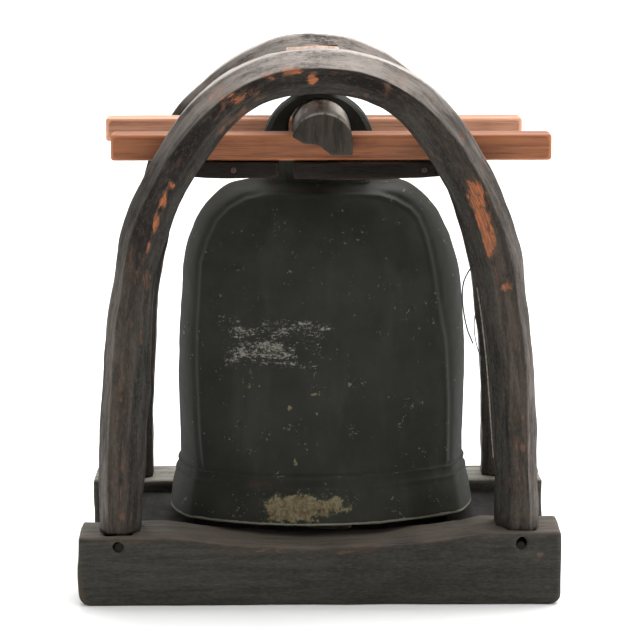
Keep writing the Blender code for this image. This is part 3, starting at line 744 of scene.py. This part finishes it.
def arch_rings(word, side, share, seed):
    """Rings of an arch's skin along its length, and how far out across the bow each point is."""
    low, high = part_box(f"{word}_arch")
    near, far = (low.y, high.y) if side == FRONT else (high.y, low.y)
    crown = bump_curve(share, 0.5, CROWN_REACH)
    rings, shares = [], []
    for i, (outer, inner) in enumerate(zip(*arch_edges(word))):
        big = 0.22 + 0.18 * crown[i] + 0.04 * noise.noise((share[i] * 9, seed, 0))
        inside = 0.31 - 0.03 * crown[i] + 0.04 * noise.noise((share[i] * 11, seed, 5))
        far_cut = (0.16, 0.14) if side == FRONT else (big, 0.34)
        section = chamfered_section([(inside, 0.30), (big, 0.34), far_cut, (0.12, 0.12)])
        flat = inner + section[:, :1] * (outer - inner)
        depth = near + (far - near) * section[:, 1]
        rings.append(np.stack([flat[:, 0], depth, flat[:, 1]], 1))
        shares.append(section[:, 0])
    return np.array(rings), np.array(shares)


def hewn_arch(word, side, material, spots, seed=0.0):
    """A bent bow with cut corners and adze-cut faces, standing on the base rail."""
    share = np.linspace(0, 1, ARCH_RINGS)
    rings, shares = arch_rings(word, side, share, seed)
    facets = {"inner_cut": facet_values(INNER_CUT), "outer_cut": facet_values(OUTER_CUT)}
    if side == FRONT:
        rings, shares = rings[:, ::-1], shares[:, ::-1]
        facets = {name: values[::-1] for name, values in facets.items()}
    bow = loft(f"{word}_arch_hewn", rings)
    mesh = bow.data
    points = points_of(mesh)
    along = np.repeat(share * BOW_LENGTH, rings.shape[1])
    grain = np.stack([along, points[:, 1], shares.reshape(-1) * LEG_WIDTH], 1)
    foot = np.clip((points[:, 2] - RAIL_TOP) / FOOT_REACH, 0, 1)
    cuts = (adze_cuts(grain, (0.050, 0.060, 0.060), seed) - 0.55) * 0.0012
    waves = noise_at(grain, (0.07, 0.08, 0.08), 2, seed) * 0.0016
    fine = noise_at(grain, (0.020, 0.006, 0.006), 2, seed + 7) * 0.00030
    push(mesh, (cuts + waves) * foot + fine)
    points = points_of(mesh)
    rise = np.clip((points[:, 2] - RAIL_TOP) / arch_height(word), 0, 1)
    points[:, 0] += ARCH_CURVES[word][2] * rise ** 2
    set_points(mesh, points)
    set_attribute(mesh, "grain", grain + seed)
    set_attribute(mesh, "edge", convexity(mesh, 2, 1))
    for name, values in facets.items():
        set_attribute(mesh, name, np.tile(values, ARCH_RINGS))
    off_cuts = 1 - facets["inner_cut"] - facets["outer_cut"]
    dark = off_cuts[None, :] * bump_curve(share, 0.5, 0.19)[:, None]
    dark += 0.9 * (1 - facets["inner_cut"])[None, :] * bump_curve(share, 0.70, 0.06)[:, None]
    set_attribute(mesh, "crown_front", np.clip(dark.reshape(-1), 0, 1))
    off_inner = np.tile(1 - facets["inner_cut"], ARCH_RINGS)
    set_attribute(mesh, "worn", spot_values(points, spots) * off_inner)
    return stands_for(bow, f"{word}_arch", material)


# ---------------- bell

# Height above the floor, half width and half depth, from the lip up to the crown
BELL_STATIONS = np.divide((
    (71, 154, 100), (94, 150.6, 96), (113, 145.2, 90), (120, 143.4, 87.2), (129, 143.1, 86.2),
    (180, 144.6, 82.5), (230, 144.5, 80), (283, 141.6, 77), (315, 139, 74.5), (340, 133.5, 71),
    (353, 127.8, 68), (372.5, 117.8, 62), (392, 99, 52), (399, 85, 40), (402, 68, 30),
), MM)
BELL_CORNER = (0.883, 0.61)
BELL_WALL = 0.007
LOOP_SLOT_BOTTOM = 0.431
LOOP_RADIUS = 0.056
LOOP_DEPTH = 0.040
LOOP_FLARE, FLARE_RISE = 0.006, 0.012
LOOP_CLEARANCE = 0.0008
LOOP_SUNK = 0.003
LOOP_RINGS = 150
BELL_LIP = BELL_STATIONS[0, 0]
BELL_CROWN = BELL_STATIONS[-1, 0]
BELL_TURN = 3.5  # degrees, counter-clockwise from above
BAND_LOW, BAND_HIGH = 0.1080, 0.1175
# The raised line on the front face, as x and z from the lower left to the lower right
FRAME_LINE = np.divide((
    (-113.7, 122.5), (-115.7, 141), (-117.3, 175), (-118.7, 234.5), (-117.6, 274.5), (-114, 327),
    (-107.5, 347.5), (-99, 366), (-87.3, 378), (-71, 387.5), (-50.5, 392), (0, 394.5), (40, 393.5),
    (59, 391), (74.3, 386), (89.3, 377), (97.2, 368.5), (104, 353), (109, 332), (113.4, 306.5),
    (115.7, 291), (124.5, 244.5), (127.5, 185), (127.5, 123.5),
), MM)
WIDE_STEPS = 150
NARROW_STEPS = 50
BELL_RINGS = 300
INSIDE, OUTSIDE = 0, 1


def arc_offsets(half_chord, sagitta, steps):
    radius = (half_chord ** 2 + sagitta ** 2) / (2 * sagitta)
    half_angle = math.asin(min(1, half_chord / radius))
    angle = half_angle * (1 - 2 * np.arange(steps) / steps)
    return radius * np.sin(angle), radius * np.cos(angle) - (radius - sagitta)


def bell_section(half_width, half_depth, rounding):
    """Two wide and two narrow arcs. rounding softens the four corners between them."""
    corner_x, corner_y = BELL_CORNER[0] * half_width, BELL_CORNER[1] * half_depth
    x, rise = arc_offsets(corner_x, half_depth - corner_y, WIDE_STEPS)
    back = np.stack([x, corner_y + rise], 1)
    y, rise = arc_offsets(corner_y, half_width - corner_x, NARROW_STEPS)
    left = np.stack([-corner_x - rise, y], 1)
    ring = np.vstack([back, left, -back, -left])
    for _ in range(rounding):
        ring = 0.5 * ring + 0.25 * (np.roll(ring, 1, 0) + np.roll(ring, -1, 0))
    return ring


def bell_rings():
    """The whole skin as one run of rings: down the inside, round the lip and up the outside.

    Each has its height, half width, half depth, rounding and side.
    """
    outer = evened(smooth_curve(BELL_STATIONS, 12), BELL_RINGS)
    rings = []
    for z, width, depth in outer[::-6]:
        wall = min(BELL_WALL, 0.45 * depth)
        drop = BELL_WALL * np.clip((z - 0.33) / (BELL_CROWN - 0.33), 0, 1) ** 2
        rings.append((z - drop, width - wall, depth - wall, 60, INSIDE))
    lip_width, lip_depth = outer[0, 1], outer[0, 2]
    for angle in np.linspace(-150, -30, 5):
        a = math.radians(angle)
        inset = BELL_WALL / 2 * (1 - math.cos(a))
        z = BELL_LIP + 0.002 + 0.0028 * math.sin(a)
        rings.append((z, lip_width - inset, lip_depth - inset, 3, OUTSIDE))
    for z, width, depth in outer:
        rounding = int(3 + 60 * np.clip((z - 0.120) / 0.08, 0, 1))
        rings.append((z, width, depth, rounding, OUTSIDE))
    return rings


def frame_distances(points):
    """Each point's distance from the frame line, and that signed so that inside it is positive."""
    toward = np.where(points[:, 1] < 0, 1.0, -1.0)
    flat = np.stack([points[:, 0] * toward, points[:, 2]], 1)
    line = evened(FRAME_LINE, 420)
    distance = np.full(len(flat), 1.0)
    for start in range(0, len(line), 30):
        gap = np.linalg.norm(flat[:, None, :] - line[None, start:start + 31], axis=2).min(1)
        distance = np.minimum(distance, gap)
    tops = np.interp(flat[:, 0], line[:, 0], line[:, 1], left=0.0, right=0.0)
    inside = np.where(flat[:, 1] < tops, 1.0, -1.0)
    return distance, distance * inside


def bell_relief(points, outer):
    """How far the outside stands out: the band above the flare and the frame line on each face."""
    y, z = points[:, 1], points[:, 2]
    band = bump_curve(z, BAND_LOW, 0.0020) * 0.7 + bump_curve(z, BAND_HIGH, 0.0013)
    distance, signed = frame_distances(points)
    on_face = (z > BAND_HIGH) * (np.abs(y) > 0.012)
    ridge = bump_curve(distance, 0, 0.0021) * on_face
    groove = bump_curve(signed, -0.0048, 0.0022) * on_face
    lip = bump_curve(z, BELL_LIP + 0.004, 0.004) * 0.6
    relief = band * 0.0017 + ridge * 0.0013 - groove * 0.0009 + lip * 0.0008
    return outer * relief, outer * ridge


def cast_bell(material):
    settings = bell_rings()
    rings = []
    for z, width, depth, rounding, _ in settings:
        flat = bell_section(width, depth, rounding)
        rings.append(np.column_stack([flat, np.full(len(flat), z)]))
    crown_in = closing_rings(rings[0], 9, -0.0012)
    crown_out = closing_rings(rings[-1], 12, 0.0012)
    rings = [*crown_in[::-1], *rings, *crown_out]
    body = loft("bell_casting", rings)
    mesh = body.data
    around = len(rings[0])
    outside_from = len(crown_in) + sum(1 for *_, side in settings if side == INSIDE)
    outer = (np.arange(len(mesh.vertices)) // around >= outside_from).astype(float)
    points = turned_bell(points_of(mesh))
    set_points(mesh, points)
    uneven = noise_at(points, (0.06, 0.06, 0.06), 3, 3.1) * 0.0010
    pitted = noise_at(points, (0.012, 0.012, 0.012), 2, 9.4) * 0.00022
    relief, ridge = bell_relief(points, outer)
    push(mesh, relief + outer * (uneven + pitted))
    z = points[:, 2]
    # Where the bronze is painted bright: worn on the lip's rim, partly painted highlight on the flare's corners,
    # the bands and the frame line's ridge.
    rim = bump_curve(z, BELL_LIP + 0.0005, 0.0030)
    across = np.abs(points[:, 0] - 0.004 * np.sign(points[:, 0]))
    corner = bump_curve(across, 0.1355, 0.0030) * (z < BAND_LOW) * 0.50 * outer
    band = bump_curve(z, BAND_HIGH, 0.0012) * 0.62 + bump_curve(z, BAND_LOW, 0.0020) * 0.45
    set_attribute(mesh, "edge", np.maximum.reduce([rim, corner, band * outer, ridge * 0.48]))
    front = (points[:, 1] < 0).astype(float) * outer
    set_attribute(mesh, "residue", residue_values(points) * front)
    for name, spots in (("crust", CRUST_SPOTS), ("green", GREEN_SPOTS), ("rust", RUST_SPOTS)):
        set_attribute(mesh, name, spot_values(points, spots) * outer)
    return stands_for(body, "bell", material)


def turned_bell(points):
    """The casting hangs turned a little about the vertical, and its right side swells."""
    swell = np.clip(points[:, 0] / 0.12, 0, 1) * box_fade(points[:, 2], 0.13, 0.30, 0.06)
    angle = math.radians(BELL_TURN)
    x = points[:, 0] + 0.0015 * swell + 0.0025 * np.clip((0.36 - points[:, 2]) / 0.06, 0, 1)
    y = points[:, 1]
    return np.stack([x * math.cos(angle) - y * math.sin(angle),
                     x * math.sin(angle) + y * math.cos(angle), points[:, 2]], 1)


def closing_rings(ring, count, rise):
    """Rings that shrink from the given one to its middle, doming slightly."""
    middle = ring.mean(0)
    made = []
    for t in np.linspace(0, 1, count + 1)[1:]:
        size = max(1 - t, 0.004)
        flat = middle + (ring - middle) * size
        flat[:, 2] = ring[:, 2] + rise * (1 - size ** 2)
        made.append(flat)
    return made


def residue_values(points):
    """The scratched pale residue left of the middle of the front, in level bands."""
    x, z = points[:, 0] * MM, points[:, 2] * MM
    values = [strength * box_fade(x, *across) * box_fade(z, *upward)
              for across, upward, strength in RESIDUE_PATCHES]
    values += [strength * box_fade(x, *across) * bump_curve(z - slope * x, height, width)
               for across, (height, slope, width), strength in RESIDUE_LINES]
    return np.maximum.reduce(values)


def box_fade(values, low, high, soft):
    return np.clip((values - low) / soft + 0.5, 0, 1) * np.clip((high - values) / soft + 0.5, 0, 1)


# Lowest and highest distance to the right and its softness, the same for the height, and strength
RESIDUE_PATCHES = (
    ((-108, 20, 40), (216, 282, 22), 0.42),
    ((-88, -24, 12), (254, 270, 10), 0.50),
    ((-84, -30, 14), (232, 254, 8), 0.56),
    ((-120, -112, 6), (218, 250, 6), 0.44),
    ((-80, 110, 50), (140, 230, 40), 0.27),
)
# Lowest and highest distance to the right and its softness, height, slope and width, and strength
RESIDUE_LINES = (
    ((-82, -24, 14), (239, 0, 2.8), 0.66),
    ((-76, 10, 20), (229, -0.05, 2.2), 0.56),
    ((-30, 22, 10), (265, 0, 2.4), 0.52),
)
# Centre, half sizes and strength
CRUST_SPOTS = (
    ((-24, -98, 88), (62, 50, 27), 0.84), ((10, -96, 90), (40, 50, 20), 0.74),
    ((-40, -96, 92), (30, 30, 14), 0.70), ((19, -80, 338), (13, 30, 10), 0.62),
    ((-70, -80, 207), (6, 30, 6), 0.68), ((-29, -83, 186), (6, 30, 6), 0.66),
    ((-33, -85, 166), (9, 30, 6), 0.66), ((-4, -85, 200), (15, 30, 4), 0.66),
    ((-3, -85, 181), (5, 30, 4), 0.62), ((-24, -87, 131), (5, 30, 12), 0.70),
    ((87, -82, 146), (18, 30, 12), 0.66), ((10, -85, 160), (60, 30, 60), 0.36),
)
GREEN_SPOTS = (
    ((54, -90, 134), (10, 30, 7), 0.70), ((74, -90, 82), (12, 30, 8), 0.70),
    ((-60, -90, 79), (30, 30, 6), 0.60), ((110, 50, 200), (30, 50, 50), 0.40),
    ((-30, 90, 120), (50, 30, 22), 0.45),
)
RUST_SPOTS = (
    ((-105, -80, 150), (30, 40, 50), 0.45), ((-60, -90, 110), (60, 40, 14), 0.60),
    ((0, -55, 399), (140, 50, 8), 0.70), ((40, 80, 260), (40, 40, 50), 0.40),
)


def loop_strap():
    """The thick ring of the loop, from its right foot over the beam to its left foot."""
    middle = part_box("bell")[1].z - LOOP_RADIUS
    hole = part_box("hanger_beam")[1].z - BEAM_AXIS.z + LOOP_CLEARANCE
    foot = BELL_CROWN - LOOP_SUNK
    foot_angle = math.asin((foot - middle) / LOOP_RADIUS)
    angle = np.linspace(foot_angle, math.pi - foot_angle, LOOP_RINGS)
    outer = np.stack([LOOP_RADIUS * np.cos(angle), middle + LOOP_RADIUS * np.sin(angle)], 1)
    turn = np.linspace(0, math.pi, 90)
    over = np.stack([hole * np.cos(turn), BEAM_AXIS.z + hole * np.sin(turn)], 1)
    inner = evened(np.vstack([[[hole, foot]], over, [[-hole, foot]]]), LOOP_RINGS)
    section = chamfered_section([(0.14, 0.06), (0.2, 0.09), (0.2, 0.09), (0.14, 0.06)])
    rings = []
    for (ox, oz), (ix, iz) in zip(outer, inner):
        x = ix + (ox - ix) * section[:, 0]
        z = iz + (oz - iz) * section[:, 0]
        y = (section[:, 1] - 0.5) * LOOP_DEPTH
        flare = LOOP_FLARE * np.clip((BELL_CROWN + FLARE_RISE - z) / FLARE_RISE, 0, 1) ** 2
        y += np.sign(y) * flare * (np.abs(y) / 0.020)
        x += np.sign(x) * flare * (section[:, 0] - 0.2)
        rings.append(np.stack([x, y, z], 1))
    return loft("bell_loop_strap", np.array(rings)[:, ::-1])


def loop_web():
    """The plate that fills the loop below its slot."""
    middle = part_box("bell")[1].z - LOOP_RADIUS
    section = chamfered_section([(0.03, 0.06)] * 4) - 0.5
    rings = []
    for z in np.linspace(BELL_CROWN - LOOP_SUNK, LOOP_SLOT_BOTTOM, 24):
        half = math.sqrt(LOOP_RADIUS ** 2 - (z - middle) ** 2) - 0.002
        thick = 0.038 + 0.010 * np.clip((BELL_CROWN + FLARE_RISE - z) / FLARE_RISE, 0, 1) ** 2
        rings.append(np.column_stack([section * (2 * half, thick), np.full(len(section), z)]))
    return loft("bell_loop_web", rings)


def bell_loop(material):
    """The loop cast on the crown: a thick ring round the beam, filled in below its slot."""
    for part in (loop_strap(), loop_web()):
        mesh = part.data
        push(mesh, noise_at(points_of(mesh), (0.02, 0.02, 0.02), 3, 1.7) * 0.0007)
        set_attribute(mesh, "edge", convexity(mesh, 2, 2) * 0.35)
        for name in ("residue", "crust", "green", "rust"):
            set_attribute(mesh, name, np.zeros(len(mesh.vertices)))
        coat(part, material)
        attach(part, "bell")


# ---------------- wires and string

STRING_RADIUS = 0.0006
STRING_Y = -0.0875
STRING_ROUTE = ((0.1536, 0.3080), (0.1580, 0.2800), (0.1630, 0.2400), (0.1668, 0.2000),
                (0.1695, 0.1650), (0.1720, 0.1370))


def leg_string():
    """The pale string held taut along the inner edge of the right leg."""
    route = [Vector(p) for p in smooth_curve([(x, STRING_Y, z) for x, z in STRING_ROUTE], 10)]
    curve = bpy.data.curves.new("leg_twine", "CURVE")
    curve.dimensions = "3D"
    curve.bevel_depth = STRING_RADIUS
    curve.bevel_resolution = 3
    curve.use_fill_caps = True
    spline = curve.splines.new("POLY")
    spline.points.add(len(route) - 1)
    for point, place in zip(spline.points, route):
        point.co = (*place, 1)
    string = add_object("leg_twine", curve)
    coat(string, twine())
    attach(string, "stand")
    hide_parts("leg_string")


# ---------------- the whole object

FRONT_ARCH_SPOTS = (
    ((-28, -120, 524), (14, 30, 5), 1.0), ((-48, -120, 519), (9, 30, 5), 0.8),
    ((-8, -120, 517), (6, 30, 8), 1.15), ((-7, -122, 506), (5, 30, 7), 1.1),
    ((-90, -124, 500), (50, 20, 12), 0.35), ((-148, -124, 400), (5, 20, 12), 0.9),
    ((-155, -124, 367), (6, 20, 28), 1.05), ((-163, -124, 338), (6, 20, 22), 1.05),
    ((-168, -124, 312), (4, 20, 18), 0.8), ((-135, -124, 397), (4, 20, 6), 0.8),
    ((-142, -124, 415), (5, 20, 6), 0.8), ((153, -124, 374), (12, 20, 28), 1.15),
    ((160, -124, 362), (10, 20, 20), 1.2), ((148, -124, 402), (11, 20, 22), 0.95),
    ((179, -124, 316), (6, 20, 5), 1.1), ((160, -124, 439), (6, 20, 6), 1.0),
    ((140, -124, 463), (10, 20, 6), 0.7),
)
REAR_ARCH_SPOTS = (
    ((0, 124, 520), (50, 20, 12), 0.5), ((165, 124, 380), (12, 20, 40), 0.5),
)
RAIL_SPOTS = (
    ((-60, -134, 56), (60, 20, 5), 0.55), ((35, -134, 55), (30, 20, 4), 0.60),
    ((-190, -134, 66), (30, 20, 4), 0.50), ((214, -134, 50), (4, 20, 6), 0.90),
    ((0, 134, 60), (100, 20, 8), 0.45),
)


def dress_stand():
    facets = {"inner_cut": (0.030, 0.030, 0.026), "outer_cut": (0.130, 0.114, 0.102),
              "crown_front": (0.006, 0.0048, 0.0038)}
    arch_wood = old_wood("arch wood", (0.026, 0.021, 0.017), (0.070, 0.056, 0.045), (0.150, 0.075, 0.046),
                         (0.520, 0.465, 0.425), pale_share=0.85, orange=(0.40, 0.115, 0.036), facets=facets)
    # The rear rail's much paler top tone is partly dusty wood and partly a painted sheen on its top, seen at a
    # grazing angle.
    rail_wood = {word: old_wood(f"{word} rail wood", (0.033, 0.031, 0.026), (0.054, 0.050, 0.042),
                                (0.085, 0.062, 0.046), pale, pale_share=0.6)
                 for word, pale in (("front", (0.120, 0.096, 0.076)), ("rear", (0.330, 0.315, 0.270)))}
    cross_wood = old_wood("cross wood", (0.005, 0.004, 0.003), (0.011, 0.009, 0.007), (0.020, 0.015, 0.010),
                          (0.020, 0.016, 0.013), pale_share=0.2)
    dark_wood = old_wood("dark wood", (0.006, 0.0042, 0.003), (0.014, 0.0100, 0.0075), (0.045, 0.026, 0.017),
                         (0.050, 0.038, 0.030), pale_share=0.25)
    # The beam's very pale top tone is a painted highlight on its lit rounded top.
    end_wood = old_wood("beam wood", (0.020, 0.0165, 0.013), (0.038, 0.032, 0.025), (0.050, 0.042, 0.032),
                        (0.440, 0.400, 0.350), pale_share=0.85)
    hewn_arch("front", FRONT, arch_wood, FRONT_ARCH_SPOTS, seed=0.0)
    hewn_arch("rear", REAR, arch_wood, REAR_ARCH_SPOTS, seed=4.0)
    for word, side in SIDES.items():
        carved(f"{word}_base_rail", rail_wood[word], 0.0022, 0.0012, (0.06, 0.03, 0.03), 0.0009,
               spots=RAIL_SPOTS, seed=side * 2.0)
        carved(f"{word}_crown_peg", dark_wood, 0.0010, 0.0003, grain="z", seed=side)
        for hand, turn in HANDS.items():
            carved(f"{word}_{hand}_rest_board", dark_wood, 0.0016, 0.0007, (0.04, 0.02, 0.02), 0.0006,
                   seed=side + 3 * turn, ceiling=BOARD_TOP)
            coat(NODES[f"{word}_{hand}_arch_dowel"], dark_wood)
    for hand, turn in HANDS.items():
        carved(f"{hand}_cross_rail", cross_wood, 0.0022, 0.0010, (0.05, 0.03, 0.03), 0.0008, grain="y",
               seed=5.0 + turn)
    carved("hanger_beam", end_wood, 0.0014, 0.0002, (0.05, 0.016, 0.016), 0.0002, grain="y", seed=1.5,
           grain_scale=(1, 1, 0.2))
    raw = bare_wood("raw wood", (0.46, 0.33, 0.26), (0.24, 0.15, 0.11), (0.37, 0.235, 0.18), (0.7, 0.9))
    carved("crown_spacer", raw, 0.0016, 0.0006, (0.03, 0.02, 0.02), 0.0006, grain="y", seed=6.5)


def dress_poles():
    woods = {"front": bare_wood("front pole wood", (0.310, 0.108, 0.040), (0.080, 0.024, 0.010),
                                (0.190, 0.062, 0.022)),
             "rear": bare_wood("rear pole wood", (0.560, 0.285, 0.175), (0.210, 0.086, 0.047),
                               (0.420, 0.178, 0.102))}
    for word, side in SIDES.items():
        carved(f"{word}_pole", woods[word], 0.0015, 0.0002, (0.09, 0.02, 0.02), 0.0002, seed=side * 3.3,
               soften=1)


def dress_hardware():
    iron, wire = rusty_iron(), black_wire()
    for name, obj in NODES.items():
        if name.endswith("_nail") or name in ("clapper_staple", "clapper_link"):
            coat(obj, iron)
        elif name.startswith("leg_wire"):
            coat(obj, wire)


def dress_bell():
    bronze = bronze_patina()
    cast_bell(bronze)
    bell_loop(bronze)
    plank = bare_wood("clapper wood", (0.34, 0.29, 0.22), (0.12, 0.10, 0.075), (0.26, 0.21, 0.155),
                      (0.75, 0.92))
    carved("clapper", plank, 0.0016, 0.0006, (0.05, 0.02, 0.03), 0.0005, grain="z", seed=8.0)


make_camera()
leg_string()
make_stage()
make_light()
dress_stand()
dress_poles()
dress_hardware()
dress_bell()
